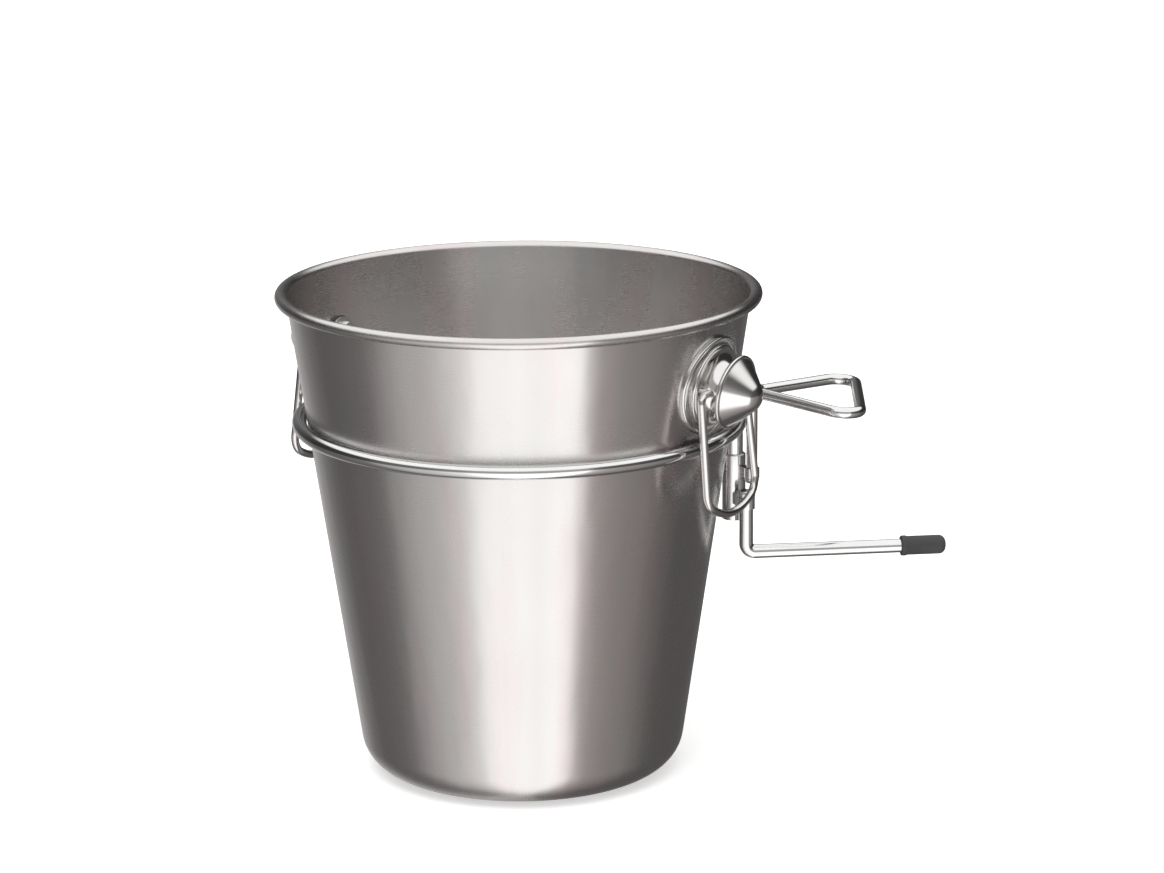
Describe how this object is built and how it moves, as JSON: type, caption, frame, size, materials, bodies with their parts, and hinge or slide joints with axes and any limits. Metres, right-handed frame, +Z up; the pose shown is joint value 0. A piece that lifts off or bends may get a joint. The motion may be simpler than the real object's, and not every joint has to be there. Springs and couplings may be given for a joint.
{
  "type": "table_edge_bottle_bucket",
  "caption": "Tapered brushed steel wine cooler bucket with drop bails, held in a wire ring bracket whose loop and sliding lower arm grip the edge of a table",
  "frame": {"origin": "the centre of the bucket's underside, on its axis", "axes": "+Z is up along the bucket's axis; +X points from the bucket to the table, along the lower arm; +Y follows by the right-hand rule"},
  "size_m": [0.293, 0.21, 0.2139],
  "materials": {
    "brushed_bucket_steel": "satin, brushed round the bucket",
    "polished_steel": "polished",
    "screw_steel": "plain machined",
    "chromed_wire": "bright polished",
    "seal_rubber": "matte",
    "tip_rubber": "soft, matte"
  },
  "bodies": {
    "bracket": {"support_ring": "chromed_wire", "ring_post": "chromed_wire", "spine_tube": "chromed_wire", "arm_sleeve": "chromed_wire", "arm_guide": "chromed_wire"},
    "loop": {"upper_arm": "chromed_wire"},
    "sliding_arm": {"lower_arm": "chromed_wire", "arm_stop": "chromed_wire", "arm_tip": "tip_rubber"},
    "bucket": {"bucket_shell": "brushed_bucket_steel", "lug_plate_1": "polished_steel", "lug_boss_1": "polished_steel", "lug_cap_1": "polished_steel", "lug_screw_1": "screw_steel", "lug_washer_1": "screw_steel", "lug_seal_1": "seal_rubber", "lug_plate_2": "polished_steel", "lug_boss_2": "polished_steel", "lug_cap_2": "polished_steel", "lug_screw_2": "screw_steel", "lug_washer_2": "screw_steel", "lug_seal_2": "seal_rubber"},
    "bail_body_1": {"bail_1": "polished_steel"},
    "bail_body_2": {"bail_2": "polished_steel"}
  },
  "joints": [
    {"name": "arm_slide", "type": "slide", "parent": "bracket", "child": "sliding_arm", "axis": [0, 0, 1], "range_m": [0, 0.0155]},
    {"name": "loop_turn", "type": "hinge", "parent": "bracket", "child": "loop", "pos_m": [0.10245, 0.0025, 0.1268], "axis": [0, 0, 1], "range_deg": [-40, 60]},
    {"name": "bucket_lift", "type": "slide", "parent": "bracket", "child": "bucket", "axis": [0, 0, 1], "range_m": [0, 0.22]},
    {"name": "bail_hinge_1", "type": "hinge", "parent": "bucket", "child": "bail_body_1", "pos_m": [0.07907, -0.06403, 0.18102], "axis": [-0.6293, -0.7771, 0], "range_deg": [-3, 160]},
    {"name": "bail_hinge_2", "type": "hinge", "parent": "bucket", "child": "bail_body_2", "pos_m": [-0.07907, 0.06403, 0.18102], "axis": [0.6293, 0.7771, 0], "range_deg": [-3, 160]}
  ]
}
